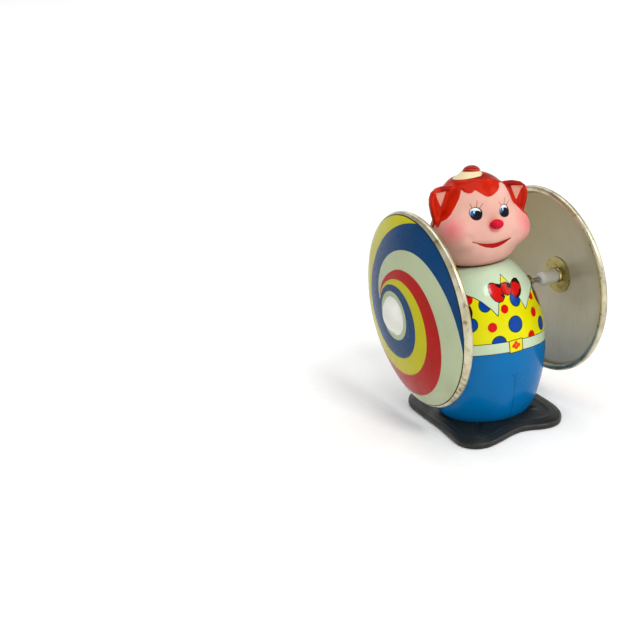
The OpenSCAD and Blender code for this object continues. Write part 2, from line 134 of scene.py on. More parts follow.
class Look:
    """A node material whose colour is built up by painting one layer on another."""

    def __init__(self, name, ground, **shader):
        self.material = bpy.data.materials.new(name)
        self.material.use_nodes = True
        self.tree = self.material.node_tree
        self.shader = self.tree.nodes["Principled BSDF"]
        for label, value in shader.items():
            self.shader.inputs[label.replace("_", " ")].default_value = value
        self.colour = linear(ground)
        self.places = None

    def add(self, kind, **settings):
        """A new node of this kind."""
        node = self.tree.nodes.new(kind)
        for key, value in settings.items():
            setattr(node, key, value)
        return node

    def feed(self, socket, value):
        """Gives a socket a link or a plain number."""
        if isinstance(value, bpy.types.NodeSocket):
            self.tree.links.new(value, socket)
        else:
            socket.default_value = value

    def math(self, operation, *values, clamp=False):
        node = self.add("ShaderNodeMath", operation=operation, use_clamp=clamp)
        for socket, value in zip(node.inputs, values):
            self.feed(socket, value)
        return node.outputs[0]

    def mix(self, share, below, above, blend="MIX"):
        node = self.add("ShaderNodeMix", data_type="RGBA", blend_type=blend)
        self.feed(node.inputs[0], share)
        self.feed(node.inputs[6], below)
        self.feed(node.inputs[7], above)
        return node.outputs[2]

    def place(self, axis):
        """One object coordinate, in millimetres."""
        if self.places is None:
            coordinates = self.add("ShaderNodeTexCoord").outputs["Object"]
            split = self.add("ShaderNodeSeparateXYZ")
            self.feed(split.inputs[0], coordinates)
            self.places = [coordinates] + [
                self.math("MULTIPLY", out, 1000.0) for out in split.outputs
            ]
        return self.places[1 + "xyz".index(axis)]

    def stored(self, name):
        """A distance painted on the mesh, in millimetres."""
        return self.add("ShaderNodeAttribute", attribute_name=name).outputs["Fac"]

    def noise(self, size, stretch=(1, 1, 1), detail=3.0, shift=0.0):
        """Noise whose lumps are about `size` mm, or size / stretch along an axis."""
        self.place("x")
        spread = self.add("ShaderNodeMapping")
        self.feed(spread.inputs["Vector"], self.places[0])
        spread.inputs["Location"].default_value = (shift, shift, shift)
        spread.inputs["Scale"].default_value = [s * 1000 / size for s in stretch]
        node = self.add("ShaderNodeTexNoise")
        self.feed(node.inputs["Vector"], spread.outputs[0])
        node.inputs["Scale"].default_value = 1.0
        node.inputs["Detail"].default_value = detail
        return node.outputs[0]

    def levels(self, value, low, high, to_low=0.0, to_high=1.0):
        """The value stretched so that low becomes to_low and high becomes to_high."""
        node = self.add("ShaderNodeMapRange")
        for socket, number in zip(node.inputs, (value, low, high, to_low, to_high)):
            self.feed(socket, number)
        return node.outputs[0]

    def inside(self, distance, soft=0.06, limit=0.0):
        """1 where a distance is below the limit, with an edge `soft` mm wide."""
        return self.math("MULTIPLY_ADD", distance, -1.0 / soft, 0.5 + limit / soft, clamp=True)

    def edge(self, distance, half, soft=0.06):
        """1 within `half` mm of where a distance is zero."""
        return self.inside(self.math("ABSOLUTE", distance), soft, half)

    def length(self, a, b):
        return self.math("SQRT", self.math("MULTIPLY_ADD", b, b, self.math("MULTIPLY", a, a)))

    def oval(self, u, v, centre, semi):
        """Near its edge, the distance to an oval, negative inside."""
        a = self.math("MULTIPLY_ADD", u, 1 / semi[0], -centre[0] / semi[0])
        b = self.math("MULTIPLY_ADD", v, 1 / semi[1], -centre[1] / semi[1])
        return self.math("MULTIPLY_ADD", self.length(a, b), min(semi), -min(semi))

    def stroke(self, u, v, start, stop, half):
        """Distance to a round-ended stroke."""
        run = (stop[0] - start[0], stop[1] - start[1])
        square = run[0] ** 2 + run[1] ** 2
        du = self.math("SUBTRACT", u, start[0])
        dv = self.math("SUBTRACT", v, start[1])
        along = self.math("MULTIPLY", du, run[0] / square)
        along = self.math("MULTIPLY_ADD", dv, run[1] / square, along)
        along = self.math("MAXIMUM", self.math("MINIMUM", along, 1.0), 0.0)
        du = self.math("MULTIPLY_ADD", along, -run[0], du)
        dv = self.math("MULTIPLY_ADD", along, -run[1], dv)
        return self.math("SUBTRACT", self.length(du, dv), half)

    def both(self, *masks):
        """The product of several masks."""
        whole = masks[0]
        for mask in masks[1:]:
            whole = self.math("MULTIPLY", whole, mask)
        return whole

    def paint(self, rgb, mask, blend="MIX"):
        """One more layer of an ordinary 0-255 colour, where the mask is 1."""
        self.colour = self.mix(mask, self.colour, linear(rgb), blend)

    def bump(self, height, depth, strength=1.0):
        """Relief from a 0-1 height, `depth` mm deep."""
        node = self.add("ShaderNodeBump")
        node.inputs["Strength"].default_value = strength
        node.inputs["Distance"].default_value = depth * MM
        self.feed(node.inputs["Height"], height)
        self.feed(self.shader.inputs["Normal"], node.outputs[0])

    def done(self, roughness):
        """The finished material."""
        self.feed(self.shader.inputs["Base Color"], self.colour)
        self.feed(self.shader.inputs["Roughness"], roughness)
        return self.material


def scuffs(look, rgb, amount, shift=0.0):
    """Fine worn specks and hairline scratches, gathered in patches."""
    patch = look.levels(look.noise(9.0, detail=4.0, shift=shift), 0.5, 0.72)
    speck = look.levels(look.noise(0.5, detail=2.0, shift=shift + 3), 0.6, 0.7)
    hair = look.levels(look.noise(0.28, stretch=(0.05, 0.6, 1.0), shift=shift + 7), 0.68, 0.74)
    look.paint(rgb, look.both(look.math("MAXIMUM", speck, hair), patch, amount))


def metal(name, rgb, roughness, tarnish, amount, grain=(1, 1, 1), size=0.4, patch=3.0):
    """Worked metal: a directional grain, patches of tarnish, and uneven gloss."""
    look = Look(name, rgb, Metallic=1.0)
    lines = look.noise(size, stretch=grain, detail=4.0)
    cloud = look.noise(patch, detail=5.0, shift=2.0)
    look.paint(tarnish, look.levels(cloud, 0.5, 0.75, 0.0, amount))
    look.paint([c * 0.75 for c in rgb], look.levels(lines, 0.55, 0.75, 0.0, 0.35))
    look.bump(lines, 0.03, 0.6)
    return look.done(look.levels(cloud, 0.3, 0.75, roughness, roughness + 0.18))


def plastic(name, rgb, roughness, speck):
    """Moulded plastic with faint flow marks and handling dirt."""
    look = Look(name, rgb, Subsurface_Weight=0.1, Subsurface_Scale=0.001)
    flow = look.noise(7.0, stretch=(1, 0.5, 1), detail=4.0)
    fine = look.noise(0.6, shift=4.0)
    look.paint([c * 0.88 for c in rgb], look.levels(flow, 0.45, 0.75, 0.0, 0.5))
    look.paint(speck, look.levels(look.both(fine, flow), 0.36, 0.5, 0.0, 0.45))
    look.bump(fine, 0.02, 0.5)
    return look.done(look.levels(flow, 0.35, 0.7, roughness - 0.05, roughness + 0.12))


# ---------- meshes ----------


def grid_faces(rows, columns, closed=False):
    """Four-sided faces of a grid of points stored row by row."""
    wide = columns if closed else columns - 1
    row, column = np.meshgrid(np.arange(rows - 1), np.arange(wide), indexing="ij")
    here, there = row * columns + column, row * columns + (column + 1) % columns
    return np.stack([here, there, there + columns, here + columns], -1).reshape(-1, 4)


def add_object(name, data):
    """A new object in the scene."""
    thing = bpy.data.objects.new(name, data)
    scene.collection.objects.link(thing)
    return thing


def make_piece(name, points, faces, body, looks, stands_for, face_look=None, painted=()):
    """A smooth mesh piece, with distances painted on its points."""
    mesh = bpy.data.meshes.new(name)
    mesh.from_pydata((np.asarray(points) * MM).tolist(), [], [list(f) for f in faces])
    for label, values in dict(painted).items():
        layer = mesh.attributes.new(label, "FLOAT", "POINT")
        layer.data.foreach_set("value", np.asarray(values, np.float32))
    for look in looks:
        mesh.materials.append(look)
    if face_look is not None:
        mesh.polygons.foreach_set("material_index", np.asarray(face_look, np.int32))
    mesh.shade_smooth()
    mesh.validate()
    piece = add_object(name, mesh)
    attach(piece, body)
    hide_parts(*stands_for)
    return piece


def modify(piece, kind, **settings):
    """Applies one modifier to a piece at once."""
    modifier = piece.modifiers.new(kind.title(), kind)
    for key, value in settings.items():
        setattr(modifier, key, value)
    graph = bpy.context.evaluated_depsgraph_get()
    mesh = bpy.data.meshes.new_from_object(piece.evaluated_get(graph), depsgraph=graph)
    piece.modifiers.clear()
    piece.data = mesh


# ---------- discs ----------

# Where each printed colour of the swirl ends: (degrees round from the start, radius).
# A colour keeps winding past one turn until it runs off the rim.
SWIRL = {
    "swirl_blue": [
        (0, 11.6), (60, 12.5), (100, 13.6), (140, 15), (200, 16.7), (250, 17.6), (300, 19),
        (340, 21.3), (380, 25.6), (410, 31.4), (430, 35.0), (450, 38.6), (720, 90),
    ],
    "swirl_yellow": [
        (0, 11.6), (60, 14), (100, 17.2), (140, 20.2), (180, 22.4), (220, 23.8), (260, 25.6),
        (300, 28.6), (330, 32), (360, 37.2), (380, 41), (720, 100),
    ],
    "swirl_red": [
        (0, 11.6), (60, 16.5), (90, 20.7), (120, 24.3), (160, 27.7), (200, 30.8), (240, 34),
        (265, 37.2), (290, 41), (720, 120),
    ],
}
SWIRL_PALE = [
    (0, 11.6), (20, 15.5), (50, 21.8), (80, 26.9), (100, 29.8), (130, 32.9), (160, 36), (172, 37.4),
    (200, 41), (720, 140),
]
SWIRL_START = 160.0  # the direction where the swirl begins, from straight ahead, upwards
RING_R = 9.9  # plain ring around the hub cap
PRINT_R = 38.7  # the printed face ends in a thin black line here
PRINT_SHIFT = 1.1  # and is stamped this far off centre
PRINT_SIDE = 15.0  # in this direction from straight ahead
CURL_END = -215  # direction, on the bead's section, where the rolled edge stops
CURL_STEP = 0.19  # along the bead from one point of its section to the next
INNER_R = 37.0  # the inner face starts here, under the bead


def landing():
    """Slope, in radians, with which the dish runs onto its rim bead."""
    lean = math.radians(30)
    for _ in range(12):
        fall = HUB_X - RIM_X - BEAD_R * math.cos(lean)
        lean = math.atan(2 * fall / (BEAD_LINE_R + BEAD_R * math.sin(lean) - HUB_FLAT_R))
    return lean


RIM_LEAN = landing()
DISH_EDGE_R = BEAD_LINE_R + BEAD_R * math.sin(RIM_LEAN)
DISH_K = math.tan(RIM_LEAN) / (2 * (DISH_EDGE_R - HUB_FLAT_R))


def dish(r):
    """Height of a disc's outer face above the middle of the toy."""
    return HUB_X - DISH_K * np.maximum(0, r - HUB_FLAT_R) ** 2


def disc_section():
    """(radius, height) along a disc's outer face, round its bead and back along the inside."""
    flat = np.linspace(AXLE_R, HUB_FLAT_R, 6)
    out_r = np.concatenate([flat, np.linspace(HUB_FLAT_R, DISH_EDGE_R, 48)[1:]])
    turn = np.linspace(math.pi / 2 - RIM_LEAN, math.radians(CURL_END), 34)[1:]
    bead = np.stack([BEAD_LINE_R + BEAD_R * np.cos(turn), RIM_X + BEAD_R * np.sin(turn)], -1)
    in_r = np.linspace(INNER_R, AXLE_R, 30)
    face = np.stack([out_r, dish(out_r)], -1)
    rear = np.stack([in_r, dish(in_r) - TIN], -1)
    return face, bead, rear


def make_disc(side, name, looks):
    """One whirling disc, side -1 or 1, with its swirl painted as distances."""
    face, bead, rear = disc_section()
    section = np.concatenate([face, bead, rear])
    columns = 300
    around = np.radians(np.arange(columns) * 360 / columns)
    r, height = section[:, :1], section[:, 1:]
    points = np.stack([
        np.broadcast_to(side * height, (len(section), columns)),
        r * np.cos(around),
        AXLE_Z + r * np.sin(around),
    ], -1).reshape(-1, 3)
    faces = grid_faces(len(section), columns, closed=True)
    if side < 0:
        faces = faces[:, ::-1]
    radius = np.hypot(points[:, 1], points[:, 2] - AXLE_Z)
    angle = np.degrees(np.arctan2(points[:, 2] - AXLE_Z, side * points[:, 1]))
    wound = (SWIRL_START - angle) % 360
    painted = {}
    for turn in (0, 360):
        start = smooth_through(SWIRL_PALE, wound + turn - 360) if turn else RING_R
        for colour, edge in SWIRL.items():
            stop = smooth_through(edge, wound + turn)
            band = np.maximum(start - radius, radius - stop)
            painted[colour] = np.minimum(painted.get(colour, band), band)
            start = stop
    # round the bead the print's edge is measured along the tin, and the rear is far past it
    past_line = radius - PRINT_R
    along = np.concatenate([np.arange(1, len(bead) + 1) * CURL_STEP, np.full(len(rear), 9.0)])
    past_line[len(face) * columns:] = DISH_EDGE_R - PRINT_R + np.repeat(along, columns)
    painted["past_line"] = past_line + PRINT_SHIFT * np.cos(np.radians(angle - PRINT_SIDE))
    painted["radius"] = radius
    stretches = [0] * (len(face) + len(bead) - 1) + [1] * len(rear)
    face_look = np.repeat(stretches, columns)[: len(faces)]
    return make_piece(name, points, faces, "whirl", looks, [name], face_look, painted)


def disc_print():
    """The printed swirl, and beyond its black line the bare tin of the rolled rim."""
    look = Look("disc_print", (170, 180, 146), Coat_Roughness=0.1, Specular_IOR_Level=0.08)
    look.paint((162, 12, 2), look.inside(look.stored("swirl_red"), limit=0.1))
    look.paint((182, 176, 2), look.inside(look.stored("swirl_yellow"), limit=0.07))
    look.paint((0, 56, 102), look.inside(look.stored("swirl_blue")))
    cloud = look.noise(16.0, detail=4.0)
    look.paint((150, 140, 110), look.levels(cloud, 0.45, 0.8, 0.0, 0.25), "MULTIPLY")
    scuffs(look, (110, 104, 84), 0.22)

    past = look.stored("past_line")
    bare = look.inside(look.math("MULTIPLY", past, -1.0), 0.1)
    look.colour = look.mix(bare, look.colour, rim_tin_colour(look))
    look.paint((14, 16, 14), look.edge(look.math("ADD", past, 0.18), 0.2, 0.12))
    look.feed(look.shader.inputs["Metallic"], bare)
    look.feed(look.shader.inputs["Coat Weight"], look.math("MULTIPLY_ADD", bare, -0.1, 0.1))
    look.bump(look.noise(5.0, detail=2.0, shift=1.0), 0.06, 0.3)
    gloss = look.levels(cloud, 0.3, 0.7, 0.22, 0.32)
    return look.done(look.math("MULTIPLY_ADD", bare, 0.1, gloss))


def rim_tin_colour(look):
    """Tin yellowed with age, with brown rust along parts of the rim."""
    cloud = look.noise(7.0, detail=4.0, shift=3.0)
    stain = look.noise(1.6, detail=5.0, shift=5.0)
    tin = look.mix(look.levels(cloud, 0.4, 0.7), linear((208, 202, 176)), linear((176, 166, 132)))
    rust = look.both(look.levels(stain, 0.54, 0.64), look.levels(cloud, 0.42, 0.6), 0.7)
    return look.mix(rust, tin, linear((96, 74, 44)))


def inner_tin():
    """The bare, lacquered back of a disc, with faint ghosts of the stamping."""
    look = Look("inner_tin", (204, 201, 184), Metallic=0.5, Specular_IOR_Level=0.4)
    cloud = look.noise(26.0)
    streak = look.noise(2.2, stretch=(1, 1, 0.3), shift=5.0)
    # painted reflection: the upper part of the disc's back is painted darker and more olive
    up = look.levels(look.math("MULTIPLY_ADD", look.place("y"), 0.6, look.place("z")), 25.0, 85.0)
    look.paint((166, 150, 106), look.both(up, 0.9))
    look.paint((174, 166, 134), look.levels(cloud, 0.4, 0.7, 0.0, 0.5))
    look.paint((150, 140, 112), look.levels(streak, 0.5, 0.8, 0.0, 0.16))
    # painted shade: the back darkens towards the rim, under the curl of the bead
    look.paint((84, 74, 54), look.levels(look.stored("radius"), 36.0, 37.2, 0.0, 0.7))
    spots = look.levels(look.noise(0.8, shift=8.0), 0.69, 0.75, 0.0, 0.5)
    look.paint((92, 74, 48), spots)
    look.bump(look.noise(0.6), 0.015, 0.4)
    return look.done(look.levels(cloud, 0.3, 0.7, 0.34, 0.46))


# ---------- body ----------

# (height, half width) up the printed tin body
BODY_LINE = [
    (3, 19.4), (5, 20.7), (8, 22.1), (12, 23.5), (16, 24.7), (20, 25.6), (24, 26.2), (28, 26.6),
    (32, 26.7), (36, 26.6), (40, 26.2), (44, 25.4), (48, 24.4), (52, 23.1), (56, 21.3), (60, 18.9),
    (62.6, 16.8), (64.6, 14.7), (65.8, 12.8), (66.4, 10.8), (66.45, 9.8),
]
PER_DEGREE = 0.43  # millimetres of printed tin for each degree round the body

# The print, as (degrees round from the front, height). It sits a few degrees round
# to the left, and the belt droops towards the side seams.
PRINT_TURN = 3.5
BELT_TOP = 38.45
BELT_TALL = 4.3
BELT_TILT = 1.7  # lower on the left side than in front
BELT_DROOP = 2.8  # lower at both sides than in front
COLLAR = [
    (-181, 57.5), (-100, 57.3), (-62, 58.4), (-46, 58), (-34, 56.5), (-27, 54.9), (-18, 51.8),
    (-12.6, 48.8), (-9.4, 54.5), (-0.9, 60.9), (4, 63.2), (9.4, 60.1), (15.2, 53.6), (19, 48.8),
    (28, 51.8), (39, 53.9), (62, 56.2), (100, 57), (181, 57.5), (181, 72), (-181, 72),
]
BOW_LEFT = [
    (-15, 61), (-17.8, 60.2), (-18.2, 58), (-16.2, 56.2), (-13, 54.6), (-9, 53.8), (-5, 54),
    (-1.4, 55.5), (-3.2, 57.4), (-2.4, 59.8), (-6.5, 60), (-10.5, 60.8),
]
BOW_RIGHT = [
    (11.3, 59.3), (16, 60.2), (21, 60.6), (25.5, 60.2), (26, 58.4), (23.4, 56.3), (18.5, 54.6),
    (13.4, 53.8), (10.2, 54.5), (7.6, 55.9), (9.2, 57.8),
]
BOW_KNOT = [
    (-1.2, 60.2), (5.8, 60.2), (10.6, 59.3), (9.8, 57.5), (6.8, 56.1), (2.5, 55.6), (-0.6, 56.1),
    (-3, 57.4), (-2.8, 59),
]
BOW_SHADE = [
    [(-10.5, 60.8), (-2, 60), (-4, 58.6), (-7.4, 59.3)],
    [(5.8, 60.2), (10.6, 59.3), (9.8, 57.9), (6, 57.8), (5.4, 59)],
    [(14.5, 60), (21, 60.7), (26, 60.3), (26.2, 58.4), (23.4, 58), (20.5, 59.3), (15, 59.4)],
    [(20, 56.6), (23.6, 56.4), (18.4, 54.5), (13.2, 53.8), (11.5, 54.5), (17, 55.3)],
    [(-5.2, 57), (-1.3, 55.6), (-4, 55.1), (-5.6, 56.3)],
]
# dots: (degrees round, height, radius)
BLUE_DOTS = [
    (3.3, 44.6, 3.25), (9.4, 53.6, 2.8), (-14.5, 38.7, 2.9), (-24.0, 53.8, 2.8), (-38.0, 46.7, 2.7),
    (39.5, 40.4, 2.9), (150, 44, 3.2), (178, 52, 2.8), (-156, 49.5, 2.9), (-142, 39.6, 2.8),
    (126, 50.5, 2.6), (164, 38.6, 2.7),
]
RED_DOTS = [
    (-5, 51.1, 1.7), (-19.2, 45.1, 1.85), (29.8, 46.3, 1.95), (19.4, 38.3, 1.9), (34.6, 52.6, 1.9),
    (-40.4, 56, 1.9), (160, 51.4, 1.9), (172, 45.6, 1.8), (-168, 43.2, 1.9), (-128, 45, 1.9),
    (138, 44.6, 1.8), (-140, 53.6, 1.8),
]
BUCKLE = [(-5.5, 33.8), (7.2, 33.8), (7.8, 38.7), (-5.8, 38.7)]
PETALS = [(0.8, 37.5, 0.75), (-1.5, 36.4, 0.8), (3.1, 36.4, 0.8), (0.8, 35.6, 0.75)]
ARM = ((90, 51.0), (49, 8.8))  # oval on each side: middle, then half sizes
SLEEVE = [(0, 56), (38, 55), (47, 53), (60, 50.4), (75, 49), (90, 48.6), (181, 49.5)]
FLY = -1.3  # degrees round to the seam of the trousers
FLY_TOP = 23.4
FLY_MARK = 1.3  # the little arrow strokes at its top reach this far aside and 1.2 mm up


def on_tin(points):
    """(degrees round, height) as millimetres on the unrolled tin."""
    return [(a * PER_DEGREE, z) for a, z in points]


def body_painting(around, height):
    """Distances from each point of the tin to the edges of everything printed on it."""
    across = around * PER_DEGREE

    def dots(listed):
        gaps = []
        for angle, z, r in listed:
            aside = ((around - angle + 180) % 360 - 180) * PER_DEGREE
            gaps.append(np.hypot(aside, height - z) - r)
        return np.min(gaps, 0)

    def shape(*outlines):
        return np.min([polygon_distance(across, height, on_tin(o)) for o in outlines], 0)

    angle = np.radians(around)
    belt_top = BELT_TOP - BELT_TILT * np.sin(angle) - BELT_DROOP * (1 - np.abs(np.cos(angle)))
    to_arm = np.abs((around - PRINT_TURN + 180) % 360 - 180)
    arm_centre, arm_semi = ((a * PER_DEGREE, z) for a, z in ARM)
    return {
        "across": across,
        "above_belt": height - belt_top + BELT_TALL / 2,
        "collar": shape(COLLAR),
        "bow": shape(BOW_LEFT, BOW_RIGHT),
        "knot": shape(BOW_KNOT),
        "bow_shade": shape(*BOW_SHADE),
        "blue_dots": dots(BLUE_DOTS),
        "red_dots": dots(RED_DOTS),
        "buckle": shape(BUCKLE),
        "petals": dots(PETALS),
        "arm": oval_distance(to_arm * PER_DEGREE, height, arm_centre, arm_semi),
        "above_sleeve": height - smooth_through(SLEEVE, to_arm),
    }


def make_body_half(side, name, looks):
    """Half of the printed shell: side -1 is the front, +1 the back."""
    heights = np.concatenate([np.arange(3, 64, 0.5), np.linspace(64, 66.45, 20)])
    widths = smooth_through(BODY_LINE, heights)
    widths = np.concatenate([widths, np.linspace(widths[-1], NECK_R - 0.05, 2)[1:]])
    heights = np.concatenate([heights, [NECK_Z - TIN - 0.1]])
    edge_gap = 0.12  # degrees left open at the seam
    turn = np.radians(np.linspace(-90 + edge_gap, 90 - edge_gap, 181))
    sideways = np.sin(turn)[None] * widths[:, None]
    outwards = np.cos(turn)[None] * widths[:, None] * BODY_OVAL
    points = np.stack([
        -side * sideways,
        BODY_BACK + side * outwards,
        np.broadcast_to(heights[:, None], sideways.shape),
    ], -1).reshape(-1, 3)
    faces = grid_faces(len(heights), len(turn))
    # holes: a point near each, the axes across it, its radius
    holes = [((s * 23, 0.0, AXLE_Z), (1, 2), AXLE_HOLE_R) for s in (-1, 1)]
    if side > 0:
        holes.append(((0.0, 24.0, KEY_Z), (0, 2), KEY_HOLE_R))
    points, faces = punch(points, faces, holes)
    around = np.degrees(np.arctan2(points[:, 0], (BODY_BACK - points[:, 1]) / BODY_OVAL))
    painted = body_painting(around, points[:, 2])
    piece = make_piece(name, points, faces, "frame", looks, [name], painted=painted)
    modify(piece, "SOLIDIFY", thickness=TIN * MM, offset=-1.0, use_even_offset=True,
           material_offset=1, material_offset_rim=1)
    return piece


def punch(points, faces, holes):
    """Takes faces out round each hole and draws the cut edge onto its circle."""
    for centre, plane, radius in holes:
        gap = np.hypot(*(points[:, i] - centre[i] for i in plane))
        nearby = np.linalg.norm(points - np.array(centre), axis=1) < radius * 3
        gone = (gap < radius) & nearby
        faces = faces[~gone[faces].all(1)]
        edge = gone & np.isin(np.arange(len(points)), faces)
        for i in plane:
            away = (points[edge, i] - centre[i]) * radius / np.maximum(gap[edge], 1e-3)
            points[edge, i] = centre[i] + away
    used = np.unique(faces)
    renumber = np.full(len(points), -1)
    renumber[used] = np.arange(len(used))
    return points[used], renumber[faces]


def body_print():
    """Printed tin: vest, arms, trousers, belt, collar and bow, one over another."""
    look = Look("body_print", (214, 208, 0), Coat_Weight=0.14, Coat_Roughness=0.04,
                Specular_IOR_Level=0.06)
    z = look.place("z")
    across = look.stored("across")
    ink = (18, 22, 18)

    def outlined(rgb, distance, half):
        look.paint(rgb, look.inside(distance))
        look.paint(ink, look.edge(distance, half))

    cloud = look.noise(14.0, detail=4.0)
    look.paint((206, 192, 0), look.levels(cloud, 0.45, 0.7, 0.0, 0.5))

    # dotted vest, with the blue dots ringed in dark green
    blue = look.stored("blue_dots")
    look.paint((16, 66, 40), look.inside(blue, limit=0.05))
    look.paint((0, 58, 146), look.inside(blue, limit=-0.4))
    look.paint((198, 8, 8), look.inside(look.stored("red_dots")))

    # furry arms round the axle, and the sleeves over them
    arm = look.stored("arm")
    on_arm = look.inside(arm)
    fur = look.levels(look.noise(1.2, stretch=(1, 1, 0.35), detail=5.0), 0.4, 0.65)
    look.paint((146, 26, 18), on_arm)
    look.paint((88, 14, 12), look.both(on_arm, fur))
    sleeve = look.stored("above_sleeve")
    look.paint((0, 80, 146), look.both(on_arm, look.inside(look.math("MULTIPLY", sleeve, -1.0))))
    look.paint(ink, look.both(look.edge(sleeve, 0.18), on_arm))
    look.paint(ink, look.edge(arm, 0.2))

    # trousers, with the fly drawn in darker blue
    belt = look.stored("above_belt")
    look.paint((0, 100, 160), look.inside(belt))
    front = look.inside(look.place("y"))
    fly = FLY * PER_DEGREE
    for stop in ((fly, 0), (fly - FLY_MARK, FLY_TOP + 1.2), (fly + FLY_MARK, FLY_TOP + 1.2)):
        line = look.inside(look.stroke(across, z, (fly, FLY_TOP), stop, 0.1), 0.12)
        look.paint((0, 36, 84), look.both(front, line))

    # belt, buckle and a plain four-petalled clasp
    belt = look.math("SUBTRACT", look.math("ABSOLUTE", belt), BELT_TALL / 2)
    outlined((186, 202, 170), belt, 0.14)
    outlined((220, 208, 20), look.stored("buckle"), 0.16)
    look.paint((214, 62, 12), look.inside(look.stored("petals")))

    # collar and bow
    outlined((190, 208, 178), look.stored("collar"), 0.15)
    for part in ("bow", "knot"):
        outlined((196, 16, 14), look.stored(part), 0.18)
    look.paint((34, 16, 14), look.inside(look.stored("bow_shade"), 0.2))

    look.paint((150, 140, 110), look.levels(cloud, 0.5, 0.8, 0.0, 0.2), "MULTIPLY")
    scuffs(look, (60, 64, 56), 0.3, shift=20.0)
    look.bump(look.noise(6.0, detail=2.0, shift=2.0), 0.05, 0.3)
    return look.done(look.levels(cloud, 0.3, 0.7, 0.16, 0.28))


# ---------- base ----------


def foot_outline():
    """The foot-shaped plate's outline, seen from above, with its corners eased."""
    left = [(0, -25.1), (-4.6, -25.5), (-11, -27.4)]
    left += arc(-17.8, -19.5, 9.2, -72, -180, 24)
    left += [(-25.4, -4), (-25.1, 10)]
    left += arc(-8.6, 20.4, 16, 180, 90, 24)
    right = [(3.6, -26.4), (6.6, -28)]
    right += arc(11.6, -20.8, 8.5, -105, -35, 20)
    right += [(20.2, -24), (21.6, -21.4), (22.9, -17.2), (23.8, -12), (24.6, -4), (24.9, 4),
              (24.9, 12)]
    right += arc(8.6, 20.4, 16, 0, 90, 24)
    loop = np.array(left + [(0, 36.4)] + right[::-1])
    gaps = np.linalg.norm(np.diff(loop, axis=0, append=loop[:1]), axis=1)
    along = np.concatenate([[0], np.cumsum(gaps)])
    count = 520
    at = np.arange(count) * along[-1] / count
    closed = np.concatenate([loop, loop[:1]])
    even = np.stack([np.interp(at, along, closed[:, i]) for i in (0, 1)], -1)
    for _ in range(30):
        even = 0.5 * even + 0.25 * (np.roll(even, 1, 0) + np.roll(even, -1, 0))
    return even


def make_base(look):
    """The foot plate, with its screw holes counterbored from below."""
    outline = foot_outline()
    along = np.roll(outline, -1, 0) - np.roll(outline, 1, 0)
    inward = np.stack([along[:, 1], -along[:, 0]], -1)
    inward /= np.linalg.norm(inward, axis=1, keepdims=True)
    # (inset, height): rounded edge, then two low moulded steps up to the standing face
    rim = [(4.5, 0.0), (1.2, 0.0), (0.5, 0.06), (0.12, 0.35), (0.0, 0.8), (0.0, 1.5), (0.1, 1.95),
           (0.35, 2.3), (0.75, 2.52), (1.3, 2.62), (1.7, 2.66), (1.95, 2.84), (2.3, 2.88),
           (3.2, 2.9), (3.5, 2.93), (3.7, 3.06), (4.0, 3.1), (4.9, 3.1), (5.15, 3.08),
           (5.35, BASE_T), (6.5, BASE_T), (8.0, BASE_T)]
    points = np.concatenate([
        np.column_stack([outline + inward * inset, np.full(len(outline), z)]) for inset, z in rim
    ])
    count = len(outline)
    faces = [list(f) for f in grid_faces(len(rim), count, closed=True)]
    for row, z in ((0, 0.0), (len(rim) - 1, BASE_T)):
        points = np.concatenate([points, [[0.0, 4.0, z]]])
        ring = [row * count + i for i in range(count)]
        for a, b in zip(ring, ring[1:] + ring[:1]):
            faces.append([len(points) - 1, b, a] if row == 0 else [len(points) - 1, a, b])
    piece = make_piece("foot_plate", points, faces, "frame", [look], ["base"])
    for x, y in FEET:
        for radius, top in ((SCREW_HEAD_R, SCREW_HEAD_T), (SCREW_R, BASE_T + 5)):
            middle = (x * MM, y * MM, (top - 1) / 2 * MM)
            bpy.ops.mesh.primitive_cylinder_add(
                vertices=48, radius=radius * MM, depth=(top + 1) * MM, location=middle
            )
            cutter = bpy.context.object
            modify(piece, "BOOLEAN", operation="DIFFERENCE", object=cutter, solver="EXACT")
            bpy.data.objects.remove(cutter)
    return piece


def foot_plastic():
    """Black moulded plastic, dusty and a little worn."""
    look = Look("foot_plastic", (27, 29, 25), Specular_IOR_Level=0.35)
    cloud = look.noise(8.0, detail=5.0)
    fine = look.noise(0.5, shift=4.0)
    look.paint((46, 47, 38), look.levels(cloud, 0.5, 0.75, 0.0, 0.6))
    look.paint((96, 94, 82), look.levels(look.both(fine, cloud), 0.38, 0.46, 0.0, 0.35))
    look.bump(fine, 0.04, 0.6)
    return look.done(look.levels(cloud, 0.35, 0.7, 0.34, 0.55))


# ---------- head ----------

# Outlines in the head's own frame, seen from the front: (sideways, height)
EAR = [
    (9, 97), (12, 97.8), (15, 97.9), (18, 97.3), (20.1, 95.8), (21, 93.6), (21, 91), (20.3, 87.8),
    (19.3, 84.5), (18.4, 81), (14, 78.5), (9, 81),
]
EAR_PINK = [(18.9, 95.6), (14.0, 95.9), (16.4, 90.1)]
FACE = [
    (-18.5, 84.2), (-15.8, 86), (-13.9, 87.8), (-12.3, 90.1), (-10.5, 93.4), (-9.2, 96.4),
    (-8.7, 95.6), (-7.6, 95), (-6.3, 95.2), (-5, 96.2), (-3.6, 95.1), (-2.3, 94.1), (-0.9, 93.5),
    (0.4, 93.7), (1.7, 94.2), (3.8, 95.2), (5.5, 96.4), (6.5, 97.8), (8.3, 98), (9.8, 96.9),
    (12, 93.8), (13.9, 90), (14.6, 88.3), (16, 86), (18.5, 84.2), (26, 82), (26, 58), (-26, 58),
    (-26, 82),
]
MOUTH = [
    (-8.3, 77.4), (-5.8, 76.4), (-3.7, 75.95), (-1.6, 76.0), (0.5, 75.85), (2.5, 76.15),
    (4.8, 76.6), (6.6, 77.1), (8.5, 78), (6.8, 76.5), (5, 75.4), (2.9, 74.5), (0.3, 74.1),
    (-2.8, 74.65), (-5.4, 75.7),
]
CREASE = [(-13, 96.5), (-9.5, 99.2), (-6, 100.2), (0.8, 100.2), (7.4, 98.6), (13, 95)]
